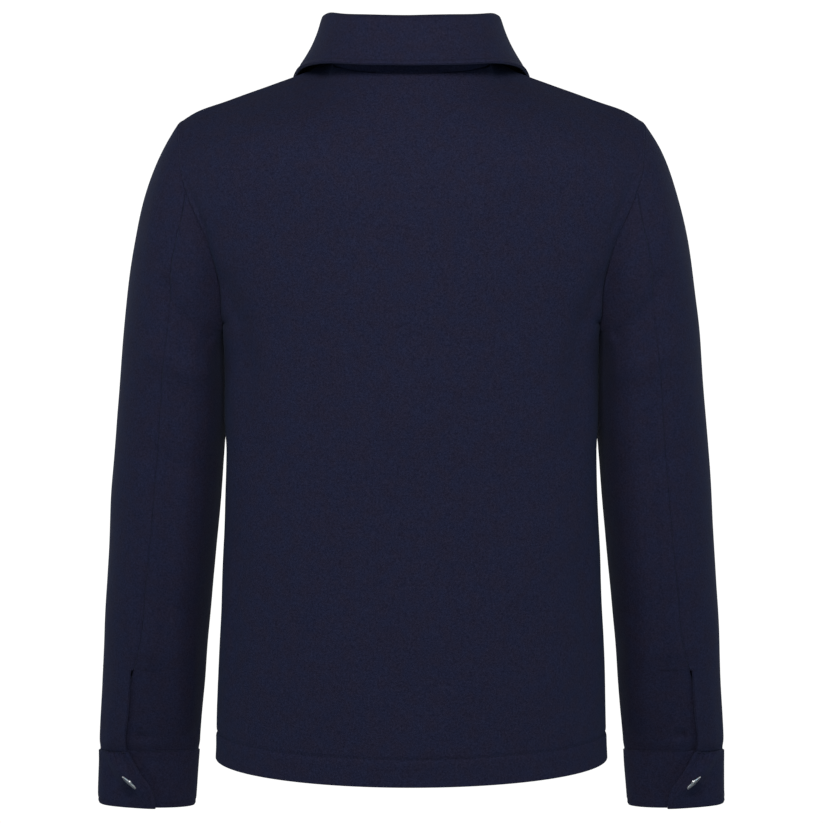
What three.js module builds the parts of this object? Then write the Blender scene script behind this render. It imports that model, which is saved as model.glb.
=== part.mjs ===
import * as THREE from "three";

// Shirt jacket with a turned-down collar, filled out as on a wearer.
// It is hollow, and open at the neck, the hem and the cuffs.
// Millimetres, +Z up. The front faces -Y, the back +Y, the wearer's left is +X.
// The origin lies on the plane of symmetry, level with the neck ends of the shoulder seams.

const degrees = Math.PI / 180;
const tiny = 1e-6;

// Cloth and seams
const clothThickness = 2;
const collarThickness = 3.4;
const cuffThickness = 3;
const seamGap = 0.3;
const sharpestCorner = 0.3;

// Rows and columns of the panels' grids
const sideRows = 8;
const armholeRows = 12;
const backNeckColumns = 6;
const frontNeckColumns = 7;
const shoulderColumns = 7;
const underSleeveColumns = 12;
const outerSleeveColumns = 4;
const sleeveSteps = 18;

// Neck opening: a half oval behind the shoulder seams and a deeper one before them
const neck = {
  halfWidth: 76,
  seamY: 5,
  seamZ: 4,
  backY: 62,
  backZ: -4,
  frontY: -78,
  frontZ: -75,
};

const shoulderSeam = [
  { name: "neck end", x: neck.halfWidth, y: neck.seamY, z: neck.seamZ },
  { name: "inner", x: 112, y: 4, z: -10.3 },
  { name: "middle", x: 162, y: 2, z: -28.3 },
  { name: "outer", x: 197, y: 0, z: -41 },
  { name: "roll", x: 213, y: -1, z: -47.2 },
  { name: "tip", x: 220.7, y: -2, z: -54.5 },
];

// Armhole, from the shoulder tip down the back, under the arm and up the front
const armhole = [
  { name: "shoulder tip", x: 220.7, y: -2, z: -54.5 },
  { name: "back top", x: 219, y: 30, z: -72 },
  { name: "back high", x: 215.5, y: 49, z: -98 },
  { name: "back seam of the sleeve", x: 206, y: 57.5, z: -126 },
  { name: "back middle", x: 193, y: 57.5, z: -156 },
  { name: "back low", x: 181, y: 47, z: -200 },
  { name: "back turn", x: 174, y: 24, z: -236 },
  { name: "underarm", x: 172, y: -7, z: -252 },
  { name: "front turn", x: 173, y: -40, z: -238 },
  { name: "front low", x: 178, y: -60, z: -205 },
  { name: "front middle", x: 186, y: -69, z: -165 },
  { name: "front high", x: 200, y: -63, z: -122 },
  { name: "front top", x: 213, y: -40, z: -82 },
];
const underarmIndex = 7;

// Level sections of the body from hem to underarm; spread is the angle at the side seam from centre back
const bodySections = [
  { name: "hem", z: -671.8, halfWidth: 190.6, widestY: 0, backY: 113, frontY: -112, spread: 100 },
  { name: "above hem", z: -625, halfWidth: 189, widestY: 2, backY: 112, frontY: -113, spread: 100 },
  { name: "hip", z: -560, halfWidth: 186.3, widestY: 6, backY: 110, frontY: -114, spread: 101 },
  { name: "waist", z: -480, halfWidth: 181.8, widestY: 10, backY: 106, frontY: -115, spread: 102 },
  { name: "rib", z: -400, halfWidth: 178, widestY: 13, backY: 104, frontY: -117, spread: 102.5 },
  { name: "chest", z: -325, halfWidth: 176.9, widestY: 15, backY: 105, frontY: -119, spread: 103 },
  { name: "underarm", z: -252, halfWidth: 176.7, widestY: 14.6, backY: 107, frontY: -119, spread: 103.2 },
];

// Rows that end on the armhole; up is the share of the way from underarm to shoulder tip
const backSections = [
  { name: "underarm", up: 0, centreY: 107, centreZ: -252, spread: 103.2, rise: 0 },
  { name: "low", up: 0.1, centreY: 107.5, centreZ: -227, spread: 103, rise: 6 },
  { name: "blade foot", up: 0.2, centreY: 108, centreZ: -201, spread: 100, rise: 11 },
  { name: "blade", up: 0.3, centreY: 108, centreZ: -174, spread: 94, rise: 12 },
  { name: "blade top", up: 0.4, centreY: 107.5, centreZ: -148, spread: 87, rise: 12 },
  { name: "upper back", up: 0.7, centreY: 97, centreZ: -68, spread: 62, rise: 16 },
];
const frontSections = [
  { name: "underarm", up: 0, centreY: -119, centreZ: -252, spread: 76.8, rise: 0 },
  { name: "low", up: 0.1, centreY: -119.5, centreZ: -240, spread: 76, rise: 11 },
  { name: "chest", up: 0.2, centreY: -119.5, centreZ: -225, spread: 74, rise: 21 },
  { name: "chest top", up: 0.3, centreY: -118.5, centreZ: -209, spread: 74, rise: 29 },
  { name: "upper chest", up: 0.4, centreY: -116.5, centreZ: -192, spread: 73, rise: 35 },
  { name: "collar bone", up: 0.7, centreY: -103, centreZ: -134, spread: 66, rise: 46 },
];
const neckShareLow = { back: 0.46, front: 0.5 };
const neckShareHigh = { back: 0.38, front: 0.4 };

// The fronts lap at the centre, the left one outside
const frontLap = 18;
const lapClearance = 0.6;
const lapFlatColumns = 2;
const lapFadeColumns = 1.5;

// Sleeve sections from crown to cuff: the outer and inner point of each ring, the y of its centre,
// its half depth, its lean (rise from front to back) and the angles of its seams from the outer point
const sleeveColumnNames = [
  "outerX", "outerZ", "innerX", "innerZ", "centreY", "depth", "lean", "backSeam", "frontSeam",
];
const sleeveTable = {
  crown: [240, -86, 178.5, -254, -5, 66, 0.02, 75, 236],
  cap: [255, -128, 179, -258, -9, 68, 0.04, 78, 234],
  "cap foot": [266, -176, 179.2, -263, -13, 70, 0.05, 84, 232],
  "upper arm": [272.8, -222, 179.4, -270, -17, 70, 0.06, 86, 230],
  biceps: [278, -266, 179.6, -285, -20, 69, 0.06, 84, 228],
  "below biceps": [281.9, -310, 179, -316, -23, 67, 0.06, 82, 226],
  "above elbow": [286.8, -358, 180.6, -360, -25, 65, 0.06, 82, 225],
  elbow: [291.2, -412, 184.6, -412, -27, 63, 0.06, 81, 225],
  "below elbow": [294.6, -462, 189.4, -462, -29, 61, 0.07, 80, 225],
  forearm: [298.3, -510, 194.6, -510, -31, 58, 0.09, 78.5, 225],
  "forearm low": [301.3, -560, 199.5, -560, -34, 53, 0.12, 76.5, 225],
  wrist: [304.3, -610, 203.8, -610, -38, 46, 0.15, 64.5, 225],
  "above cuff": [306.8, -650, 207.3, -650, -41, 39, 0.18, 58, 225],
  "cuff seam": [308.4, -674.5, 209.5, -674.5, -43.5, 35, 0.2, 57.5, 225],
};
const sleeveSections = Object.values(sleeveTable).map((row) =>
  Object.fromEntries(sleeveColumnNames.map((column, i) => [column, row[i]])),
);

// The vent at the foot of the back sleeve seam, where the upper sleeve laps the under sleeve
const vent = { topZ: -588, stepHeight: 5, lap: 8, fullLapRows: 1.1, lift: 2.9, nearLift: 1.2 };

// Cuff: an open band whose flap comes over the back and buttons down; h runs from its seam to its edge
const cuffRings = {
  seam: {
    outerX: 309, outerZ: -675, innerX: 209.2, innerZ: -675, centreY: -43.5, depth: 35.5, lean: 0.2,
  },
  edge: {
    outerX: 310.8, outerZ: -729.5, innerX: 214.2, innerZ: -733, centreY: -47, depth: 34.5, lean: 0.12,
  },
};
const cuffRows = 5;
const cuffFlap = [
  { h: 0, crest: 52, end: 70.5, crestLift: 3 },
  { h: 0.35, crest: 69.5, end: 84, crestLift: 8 },
  { h: 0.6, crest: 84, end: 96, crestLift: 8 },
  { h: 0.78, crest: 93, end: 101.2, crestLift: 5 },
  { h: 1, crest: 97.5, end: 103, crestLift: 2 },
];
const cuffBand = {
  startAngle: 50,
  liftFrom: 2,
  liftTo: 40,
  endLift: 1.2,
  crestReach: 24,
  aroundColumns: 18,
  riseColumns: 7,
  riseEasing: 1.4,
  flapColumns: 3,
};

// Collar lines from centre back to centre front; along is the share of the half neckline
const collarLines = [
  { name: "centre", along: 0, crestX: 0, crestY: 69.5, crestZ: 49, edgeX: 0, edgeY: 88, edgeZ: 5.5 },
  { name: "back", along: 0.2, crestX: 37, crestY: 62, crestZ: 49, edgeX: 45, edgeY: 82, edgeZ: 5.8 },
  { name: "back side", along: 0.34, crestX: 64, crestY: 38, crestZ: 49, edgeX: 84, edgeY: 59, edgeZ: 5.5 },
  { name: "side", along: 0.46, crestX: 77.5, crestY: 5, crestZ: 47.5, edgeX: 106.5, edgeY: 10, edgeZ: -4 },
  { name: "fore", along: 0.64, crestX: 68, crestY: -38, crestZ: 24, edgeX: 112, edgeY: -50, edgeZ: -38 },
  { name: "front", along: 0.82, crestX: 37, crestY: -66, crestZ: -10, edgeX: 94, edgeY: -96, edgeZ: -80 },
  { name: "closing", along: 1, crestX: 1.5, crestY: -76, crestZ: -33, edgeX: 62, edgeY: -116, edgeZ: -112 },
];
const collarFold = { radius: 5.6, legDrop: 7, turnShare: 0.86, leafRows: 6, foldSteps: 6, bow: 3 };
const standRows = 3;
const standLift = 0.6;
const standTopGap = 0.8;

// Metal buttons
const button = { radius: 9, height: 3.4, facets: 18, clearance: 0.35 };
// Points of the button's outline, as shares of its radius and height
const buttonProfile = [
  { name: "centre of the back", radius: 0, height: 0 },
  { name: "edge of the back", radius: 0.82, height: 0 },
  { name: "rim", radius: 1, height: 0.25 },
  { name: "rim top", radius: 0.95, height: 0.53 },
  { name: "shoulder", radius: 0.7, height: 0.86 },
  { name: "dome", radius: 0.35, height: 0.97 },
  { name: "crown", radius: 0, height: 1 },
];
const frontButtons = { count: 6, topZ: -96, bottomZ: -612 };
const cuffButton = {
  seat: new THREE.Vector3(274.1, 7.3, -694.3),
  facing: new THREE.Vector3(0.66, 0.36, -0.66),
};

const navy = 0x1f2233;
const steel = 0xb9bcc0;

const lerp = THREE.MathUtils.lerp;
const toVector = (row) => new THREE.Vector3(row.x, row.y, row.z);

// Values of a table's columns at any place, on a smooth curve through its rows
function tableCurve(rows, placeKey, valueKeys) {
  const places = rows.map((row) => row[placeKey]);
  const values = rows.flatMap((row) => valueKeys.map((key) => row[key]));
  const curve = new THREE.CubicInterpolant(places, values, valueKeys.length);
  return (place) => {
    const found = curve.evaluate(place);
    return Object.fromEntries(valueKeys.map((key, i) => [key, found[i]]));
  };
}

// A line of points cut into equal lengths
function evenPoints(points, count) {
  const lengths = [0];
  for (let i = 1; i < points.length; i++) {
    lengths.push(lengths[i - 1] + points[i].distanceTo(points[i - 1]));
  }
  const total = lengths[lengths.length - 1];
  const result = [];
  for (let k = 0; k <= count; k++) {
    const target = (total * k) / count;
    let i = lengths.findIndex((length) => length >= target - tiny);
    if (i < 1) i = 1;
    const share = (target - lengths[i - 1]) / (lengths[i] - lengths[i - 1]);
    result.push(points[i - 1].clone().lerp(points[i], share));
  }
  return result;
}

const neckPoint = (angle) => {
  const c = Math.cos(angle * degrees);
  const depthY = c > 0 ? neck.backY - neck.seamY : neck.seamY - neck.frontY;
  const depthZ = c > 0 ? neck.backZ - neck.seamZ : neck.seamZ - neck.frontZ;
  return new THREE.Vector3(
    neck.halfWidth * Math.sin(angle * degrees),
    neck.seamY + depthY * c,
    neck.seamZ + depthZ * c,
  );
};

const fineSteps = 40;
const shoulderCurve = new THREE.CatmullRomCurve3(shoulderSeam.map(toVector));
const shoulderPoints = evenPoints(
  shoulderCurve.getPoints(shoulderSeam.length * fineSteps),
  shoulderColumns,
);

// Both halves of the armhole, from underarm to shoulder tip, in fine steps
const armholeCurve = new THREE.CatmullRomCurve3(armhole.map(toVector), true);
const armholeLoop = armholeCurve.getPoints(armhole.length * fineSteps);
const underarmStep = underarmIndex * fineSteps;
const armholeHalf = {
  back: armholeLoop.slice(0, underarmStep + 1).reverse(),
  front: armholeLoop.slice(underarmStep),
};
const armholePoints = {
  back: evenPoints(armholeHalf.back, armholeRows),
  front: evenPoints(armholeHalf.front, armholeRows),
};
const sectionShare = 10;
const armholeAtSection = {
  back: evenPoints(armholeHalf.back, sectionShare),
  front: evenPoints(armholeHalf.front, sectionShare),
};

// A point of a body row, at share u of its angle from the centre line to its side point
function rowPoint(row, u) {
  const spread = row.spread * degrees;
  const share = (Math.cos(spread * u) - Math.cos(spread)) / (1 - Math.cos(spread));
  return new THREE.Vector3(
    (row.side.x * Math.sin(spread * u)) / Math.sin(spread),
    lerp(row.side.y, row.centreY, share),
    lerp(row.side.z, row.centreZ, share) + row.rise * Math.sin(Math.PI * u) ** 2,
  );
}

// Shares of a row's columns: the neck's columns, the shoulder's, and for a front its lap past the centre
function columnShares(row, half, neckColumns, neckShare) {
  const shares = [];
  if (half === "front") {
    const spread = row.spread * degrees;
    shares.push(-Math.asin((frontLap * Math.sin(spread)) / row.side.x) / spread);
  }
  for (let i = 0; i < neckColumns; i++) shares.push((neckShare * i) / neckColumns);
  for (let i = 0; i <= shoulderColumns; i++) {
    shares.push(neckShare + ((1 - neckShare) * i) / shoulderColumns);
  }
  return shares;
}

// Half a body from hem to shoulder, centre to side: rows of points
function bodyHalf(half) {
  const sections = half === "back" ? backSections : frontSections;
  const neckColumns = half === "back" ? backNeckColumns : frontNeckColumns;
  const levelAt = tableCurve(bodySections, "z", [
    "halfWidth", "widestY", "backY", "frontY", "spread",
  ]);
  const hemZ = bodySections[0].z;
  const underarmZ = bodySections[bodySections.length - 1].z;
  const rows = [];
  const pointsOf = (row, neckShare) =>
    columnShares(row, half, neckColumns, neckShare).map((u) => rowPoint(row, u));
  for (let j = 0; j < sideRows; j++) {
    const z = lerp(hemZ, underarmZ, j / sideRows);
    const level = levelAt(z);
    const turn = level.spread * degrees;
    const side = new THREE.Vector3(
      level.halfWidth * Math.sin(turn),
      level.widestY + (level.backY - level.widestY) * Math.cos(turn),
      z,
    );
    const centreY = half === "back" ? level.backY : level.frontY;
    const spread = half === "back" ? level.spread : 180 - level.spread;
    rows.push(pointsOf({ side, centreY, centreZ: z, spread, rise: 0 }, neckShareLow[half]));
  }
  const stations = sections.map((section) => {
    const side = armholeAtSection[half][Math.round(section.up * sectionShare)];
    const neckShare = lerp(neckShareLow[half], neckShareHigh[half], section.up);
    return pointsOf({ ...section, side }, neckShare);
  });
  stations.push(topRow(half, neckColumns));
  const places = [...sections.map((section) => section.up), 1];
  const coordinates = stations.flatMap((points) => points.flatMap((p) => p.toArray()));
  const curve = new THREE.CubicInterpolant(places, coordinates, stations[0].length * 3);
  const last = stations[0].length - 1;
  for (let k = 0; k <= armholeRows; k++) {
    const found = curve.evaluate(k / armholeRows);
    const points = stations[0].map((_, i) => new THREE.Vector3().fromArray(found, i * 3));
    const correction = armholePoints[half][k].clone().sub(points[last]);
    rows.push(points.map((p, i) => p.addScaledVector(correction, Math.max(0, i / last) ** 2)));
  }
  return rows;
}

// Neckline and shoulder seam, from the centre out
function topRow(half, neckColumns) {
  const points = [];
  const start = half === "back" ? 0 : 180;
  if (half === "front") {
    points.push(neckPoint(180 + Math.asin(frontLap / neck.halfWidth) / degrees));
  }
  for (let i = 0; i < neckColumns; i++) {
    points.push(neckPoint(lerp(start, 90, i / neckColumns)));
  }
  return [...points, ...shoulderPoints.map((p) => p.clone())];
}

const mirrored = (p) => new THREE.Vector3(-p.x, p.y, p.z);

// In every grid the rows run up and the columns clockwise seen from above, so the outside is one side
function backGrid() {
  return bodyHalf("back").map((row) => [
    ...row.slice(1).reverse().map(mirrored),
    ...row,
  ]);
}
const leftFrontGrid = () => bodyHalf("front").map((row) => [...row].reverse());
const mirroredGrid = (grid) => grid.map((row) => [...row].reverse().map(mirrored));

// The right front lies inside the left one where they lap
function rightFrontGrid() {
  const grid = mirroredGrid(leftFrontGrid());
  const drop = clothThickness + lapClearance;
  return grid.map((row) =>
    row.map((p, i) => {
      const share = THREE.MathUtils.clamp(1 - (i - lapFlatColumns) / lapFadeColumns, 0, 1);
      return new THREE.Vector3(p.x, p.y + drop * share, p.z);
    }),
  );
}

// The sleeve's rings, columns from the back seam over the outer side and front to the back seam again
const sleeveColumns = underSleeveColumns * 2;
function armholeRing() {
  const ring = [];
  for (let i = 0; i < sleeveColumns; i++) {
    const fromTip = (outerSleeveColumns - i + sleeveColumns) % sleeveColumns;
    ring.push(
      fromTip <= armholeRows
        ? armholePoints.back[armholeRows - fromTip]
        : armholePoints.front[fromTip - armholeRows],
    );
  }
  return ring;
}

function sleeveRing(section) {
  const ring = [];
  const frontColumns = underSleeveColumns - outerSleeveColumns;
  for (let i = 0; i < sleeveColumns; i++) {
    let angle = section.backSeam * (1 - i / outerSleeveColumns);
    if (i > outerSleeveColumns) {
      const share = (i - outerSleeveColumns) / frontColumns;
      angle = lerp(0, section.frontSeam - 360, share);
    }
    if (i > underSleeveColumns) {
      const share = (i - underSleeveColumns) / underSleeveColumns;
      angle = lerp(section.frontSeam - 360, section.backSeam - 360, share);
    }
    ring.push(sleevePoint(section, angle));
  }
  return ring;
}

function sleevePoint(section, angle) {
  const c = Math.cos(angle * degrees);
  const s = Math.sin(angle * degrees);
  return new THREE.Vector3(
    lerp(section.innerX, section.outerX, (1 + c) / 2),
    section.centreY + section.depth * s,
    lerp(section.innerZ, section.outerZ, (1 + c) / 2) + section.lean * section.depth * s,
  );
}

// The rows' places along the sleeve, 0 at the armhole, with three close rows where the vent steps
function sleevePlaces() {
  const lastPlace = sleeveSections.length;
  const above = sleeveSections.findIndex((section) => section.outerZ < vent.topZ);
  const upper = sleeveSections[above - 1];
  const lower = sleeveSections[above];
  const slope = lower.outerZ - upper.outerZ;
  const ventPlace = above + (vent.topZ - upper.outerZ) / slope;
  const step = vent.stepHeight / Math.abs(slope);
  const places = [];
  for (let k = 0; k <= sleeveSteps; k++) {
    const place = (lastPlace * k) / sleeveSteps;
    if (Math.abs(place - ventPlace) > 3 * step) places.push(place);
  }
  places.push(ventPlace - step, ventPlace, ventPlace + step);
  return { places: places.sort((a, b) => a - b), ventPlace };
}

function sleeveGrids() {
  const rings = [armholeRing(), ...sleeveSections.map(sleeveRing)];
  const coordinates = rings.flatMap((ring) => ring.flatMap((p) => p.toArray()));
  const curve = new THREE.CubicInterpolant(
    rings.map((_, i) => i),
    coordinates,
    sleeveColumns * 3,
  );
  const { places, ventPlace } = sleevePlaces();
  const rows = places.map((place) => {
    const found = curve.evaluate(place);
    const points = [];
    for (let i = 0; i < sleeveColumns; i++) {
      points.push(new THREE.Vector3().fromArray(found, i * 3));
    }
    return points;
  });
  const upper = rows.map((row, j) => lapVent(row, places[j] - ventPlace));
  const under = rows.map((row) => [...row.slice(underSleeveColumns), row[0].clone()]);
  return { upper: upper.reverse(), under: under.reverse() };
}

// The upper sleeve's row: below the vent's top its edge is lifted, then laps further and further past
// the seam
function lapVent(row, pastVent) {
  const points = row.slice(0, underSleeveColumns + 1).map((p) => p.clone());
  if (pastVent < -tiny) return points;
  const across = row[0].clone().sub(row[1]).normalize();
  const outward = new THREE.Vector3(-across.y, across.x, 0).normalize();
  if (outward.y < 0) outward.negate();
  points[0].addScaledVector(outward, vent.lift);
  points[1].addScaledVector(outward, vent.nearLift);
  points[0].addScaledVector(across, vent.lap * smoothstep(pastVent, 0, vent.fullLapRows));
  return points;
}

function cuffPoint(h, angle, lift) {
  const at = (key) => lerp(cuffRings.seam[key], cuffRings.edge[key], h);
  const c = Math.cos(angle * degrees);
  const s = Math.sin(angle * degrees);
  const halfWidth = (at("outerX") - at("innerX")) / 2;
  const outward = new THREE.Vector3(c / halfWidth, s / at("depth"), 0).normalize();
  return new THREE.Vector3(
    lerp(at("innerX"), at("outerX"), (1 + c) / 2),
    at("centreY") + at("depth") * s,
    lerp(at("innerZ"), at("outerZ"), (1 + c) / 2) + at("lean") * at("depth") * s,
  ).addScaledVector(outward, lift);
}

const smoothstep = THREE.MathUtils.smoothstep;
const flapAt = tableCurve(cuffFlap, "h", ["crest", "end", "crestLift"]);
const lapLift = cuffThickness + lapClearance;

function cuffLift(angle, flap) {
  const lap = lapLift * smoothstep(angle, cuffBand.liftFrom, cuffBand.liftTo);
  const toCrest = flap.crest - angle;
  if (toCrest >= 0) {
    const near = 1 - smoothstep(toCrest, 0, cuffBand.crestReach);
    return lap + flap.crestLift * near;
  }
  const share = -toCrest / (flap.end - flap.crest);
  return lap + lerp(flap.crestLift, cuffBand.endLift, smoothstep(share, 0, 1));
}

function cuffGrid() {
  const { startAngle, liftFrom, aroundColumns, riseColumns, riseEasing, flapColumns } = cuffBand;
  const rows = [];
  for (let j = 0; j <= cuffRows; j++) {
    const h = j / cuffRows;
    const flap = flapAt(h);
    const row = [];
    for (let i = 0; i < flapColumns; i++) {
      const angle = lerp(flap.end, flap.crest, i / flapColumns);
      row.push(cuffPoint(h, angle, cuffLift(angle, flap)));
    }
    for (let i = 0; i < riseColumns; i++) {
      const angle = lerp(flap.crest, liftFrom, (i / riseColumns) ** riseEasing);
      row.push(cuffPoint(h, angle, cuffLift(angle, flap)));
    }
    for (let i = 0; i <= aroundColumns; i++) {
      const angle = lerp(liftFrom, startAngle - 360, i / aroundColumns);
      row.push(cuffPoint(h, angle, 0));
    }
    rows.push(row);
  }
  return rows.reverse();
}

// Collar: one section at each column of the neckline, from the right centre front round the back
const collarAt = tableCurve(collarLines, "along", [
  "crestX", "crestY", "crestZ", "edgeX", "edgeY", "edgeZ",
]);
const halfNeckColumns = backNeckColumns + frontNeckColumns;

function collarSections() {
  const half = [];
  for (let i = 0; i <= halfNeckColumns; i++) {
    const behind = i <= backNeckColumns;
    const angle = behind
      ? (90 * i) / backNeckColumns
      : 90 + (90 * (i - backNeckColumns)) / frontNeckColumns;
    const seam = neckPoint(Math.min(angle, 179));
    const lines = collarAt(i / halfNeckColumns);
    const crest = new THREE.Vector3(lines.crestX, lines.crestY, lines.crestZ);
    const edge = new THREE.Vector3(lines.edgeX, lines.edgeY, lines.edgeZ);
    if (i === 0) {
      crest.x = 0;
      edge.x = 0;
    }
    const outward = new THREE.Vector3(Math.sin(angle * degrees), Math.cos(angle * degrees), 0);
    half.push({ seam, crest, edge, outward });
  }
  const flip = ({ seam, crest, edge, outward }) => ({
    seam: mirrored(seam),
    crest: mirrored(crest),
    edge: mirrored(edge),
    outward: mirrored(outward),
  });
  return [...half.slice(1).reverse().map(flip), ...half];
}

// The middle line of the fold: up the neck side, over the crest and out to the leaf
function foldLine({ crest, edge, outward }) {
  const { radius, legDrop, turnShare, foldSteps, leafRows, bow } = collarFold;
  const axis = crest.clone();
  axis.z -= radius;
  const line = [];
  const at = (out, up) => axis.clone().addScaledVector(outward, out).setZ(axis.z + up);
  line.push(at(-radius, -legDrop));
  for (let i = 0; i <= foldSteps; i++) {
    const turn = Math.PI * (1 - (turnShare * i) / foldSteps);
    line.push(at(radius * Math.cos(turn), radius * Math.sin(turn)));
  }
  const start = line[line.length - 1];
  for (let i = 1; i <= leafRows; i++) {
    const share = i / leafRows;
    const p = start.clone().lerp(edge, share);
    p.addScaledVector(outward, -bow * Math.sin(Math.PI * share));
    line.push(p);
  }
  return line;
}

// The leaf's visible side faces out below the fold, so its rows run from edge to neck side
function leafGrid() {
  const lines = collarSections().map(foldLine);
  return lines[0].map((_, k) => lines.map((line) => line[line.length - 1 - k]));
}

function standGrid() {
  const sections = collarSections();
  const rows = [];
  for (let j = 0; j <= standRows; j++) {
    rows.push(
      sections.map((section) => {
        const top = foldLine(section)[0];
        top.z -= standTopGap;
        const bottom = section.seam.clone();
        bottom.addScaledVector(section.outward, -clothThickness / 2);
        bottom.addScaledVector(top.clone().sub(bottom).normalize(), standLift);
        return bottom.lerp(top, j / standRows);
      }),
    );
  }
  return rows;
}

// Panels: grid of points, how far the wall reaches out and in from them, and the sides that are sewn
const sleeves = sleeveGrids();
const cuff = cuffGrid();
const allSewn = { start: true, end: true, top: true, bottom: false };
const leftFrontSewn = { ...allSewn, end: false };
const rightFrontSewn = { ...allSewn, start: false };
const sleeveSewn = { start: true, end: true, top: true, bottom: true };
const cuffSewn = { start: false, end: false, top: true, bottom: false };
const unsewn = { start: false, end: false, top: false, bottom: false };
const halfCollar = collarThickness / 2;
const panels = [
  { name: "back", grid: backGrid(), out: 0, inn: clothThickness, sewn: allSewn },
  { name: "front_left", grid: leftFrontGrid(), out: 0, inn: clothThickness, sewn: leftFrontSewn },
  { name: "front_right", grid: rightFrontGrid(), out: 0, inn: clothThickness, sewn: rightFrontSewn },
  { name: "collar_stand", grid: standGrid(), out: halfCollar, inn: halfCollar, sewn: unsewn },
  { name: "collar_leaf", grid: leafGrid(), out: halfCollar, inn: halfCollar, sewn: unsewn },
];
for (const side of ["left", "right"]) {
  const place = side === "left" ? (grid) => grid : mirroredGrid;
  panels.push(
    {
      name: `upper_sleeve_${side}`,
      grid: place(sleeves.upper),
      out: 0,
      inn: clothThickness,
      sewn: sleeveSewn,
    },
    {
      name: `under_sleeve_${side}`,
      grid: place(sleeves.under),
      out: 0,
      inn: clothThickness,
      sewn: sleeveSewn,
    },
    { name: `cuff_${side}`, grid: place(cuff), out: 0, inn: cuffThickness, sewn: cuffSewn },
  );
}

// Outward normal of each point of a grid, from its neighbours
function gridNormals(grid) {
  const lastRow = grid.length - 1;
  const lastColumn = grid[0].length - 1;
  return grid.map((row, j) =>
    row.map((_, i) => {
      const up = grid[Math.min(j + 1, lastRow)][i].clone().sub(grid[Math.max(j - 1, 0)][i]);
      const along = row[Math.min(i + 1, lastColumn)].clone().sub(row[Math.max(i - 1, 0)]);
      return up.cross(along).normalize();
    }),
  );
}

const keyOf = (p) => [p.x, p.y, p.z].map((value) => Math.round(value * 1000)).join(",");

// Where panels meet, their walls share one direction
const seamNormals = new Map();
for (const panel of panels) {
  panel.normals = gridNormals(panel.grid);
  const lastRow = panel.grid.length - 1;
  const lastColumn = panel.grid[0].length - 1;
  panel.grid.forEach((row, j) =>
    row.forEach((p, i) => {
      if (j > 0 && j < lastRow && i > 0 && i < lastColumn) return;
      const key = keyOf(p);
      if (!seamNormals.has(key)) seamNormals.set(key, new THREE.Vector3());
      seamNormals.get(key).add(panel.normals[j][i]);
    }),
  );
}

// A sewn edge stands back from its seam by half the gap
function standBack(panel, j, i, normal) {
  const { grid, sewn } = panel;
  const lastRow = grid.length - 1;
  const lastColumn = grid[0].length - 1;
  const directions = [];
  const pull = (before, after, inside) => {
    const direction = after.clone().sub(before).cross(normal).normalize();
    if (direction.dot(inside.clone().sub(grid[j][i])) < 0) direction.negate();
    directions.push(direction);
  };
  const row = grid[j];
  const below = grid[Math.max(j - 1, 0)][i];
  const above = grid[Math.min(j + 1, lastRow)][i];
  const previous = row[Math.max(i - 1, 0)];
  const next = row[Math.min(i + 1, lastColumn)];
  if (i === 0 && sewn.start) pull(below, above, row[1]);
  if (i === lastColumn && sewn.end) pull(below, above, row[lastColumn - 1]);
  if (j === 0 && sewn.bottom) pull(previous, next, grid[1][i]);
  if (j === lastRow && sewn.top) pull(previous, next, grid[lastRow - 1][i]);
  if (directions.length === 0) return new THREE.Vector3();
  const [first, second] = directions;
  if (!second) return first.multiplyScalar(seamGap / 2);
  const corner = Math.max(1 + first.dot(second), sharpestCorner);
  return first.add(second).multiplyScalar(seamGap / 2 / corner);
}

// A wall of cloth on a grid, closed all round
function wall(panel) {
  const { grid, normals, out, inn } = panel;
  const rows = grid.length;
  const columns = grid[0].length;
  const positions = [];
  const outer = [];
  const inner = [];
  grid.forEach((row, j) =>
    row.forEach((p, i) => {
      const onEdge = j === 0 || j === rows - 1 || i === 0 || i === columns - 1;
      const normal = (onEdge ? seamNormals.get(keyOf(p)) : normals[j][i]).clone().normalize();
      const place = p.clone().add(standBack(panel, j, i, normal));
      outer.push(place.clone().addScaledVector(normal, out));
      inner.push(place.clone().addScaledVector(normal, -inn));
    }),
  );
  [...outer, ...inner].forEach((p) => positions.push(p.x, p.y, p.z));
  const index = [];
  const outside = (j, i) => j * columns + i;
  const inward = rows * columns;
  const quad = (a, b, c, d) => index.push(a, b, c, a, c, d);
  for (let j = 0; j < rows - 1; j++) {
    for (let i = 0; i < columns - 1; i++) {
      const corners = [outside(j, i), outside(j + 1, i), outside(j + 1, i + 1), outside(j, i + 1)];
      const outerFour = [...corners];
      const innerFour = [corners[0], corners[3], corners[2], corners[1]].map((k) => k + inward);
      if (grid[j][i].x + grid[j][i + 1].x < 0) {
        outerFour.push(outerFour.shift());
        innerFour.push(innerFour.shift());
      }
      quad(...outerFour);
      quad(...innerFour);
    }
  }
  // Both walls of a seam split their end faces the same way, from the outer point of the higher end
  const rim = (a, b) => {
    if (outer[a].z > outer[b].z) quad(a, b, b + inward, a + inward);
    else quad(b, b + inward, a + inward, a);
  };
  const topRim = rows - 1;
  const endRim = columns - 1;
  for (let i = 0; i < endRim; i++) {
    rim(outside(0, i), outside(0, i + 1));
    rim(outside(topRim, i + 1), outside(topRim, i));
  }
  for (let j = 0; j < topRim; j++) {
    rim(outside(j + 1, 0), outside(j, 0));
    rim(outside(j, endRim), outside(j + 1, endRim));
  }
  const geometry = new THREE.BufferGeometry();
  geometry.setAttribute("position", new THREE.Float32BufferAttribute(positions, 3));
  geometry.setIndex(index);
  geometry.computeVertexNormals();
  return geometry;
}

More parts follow.
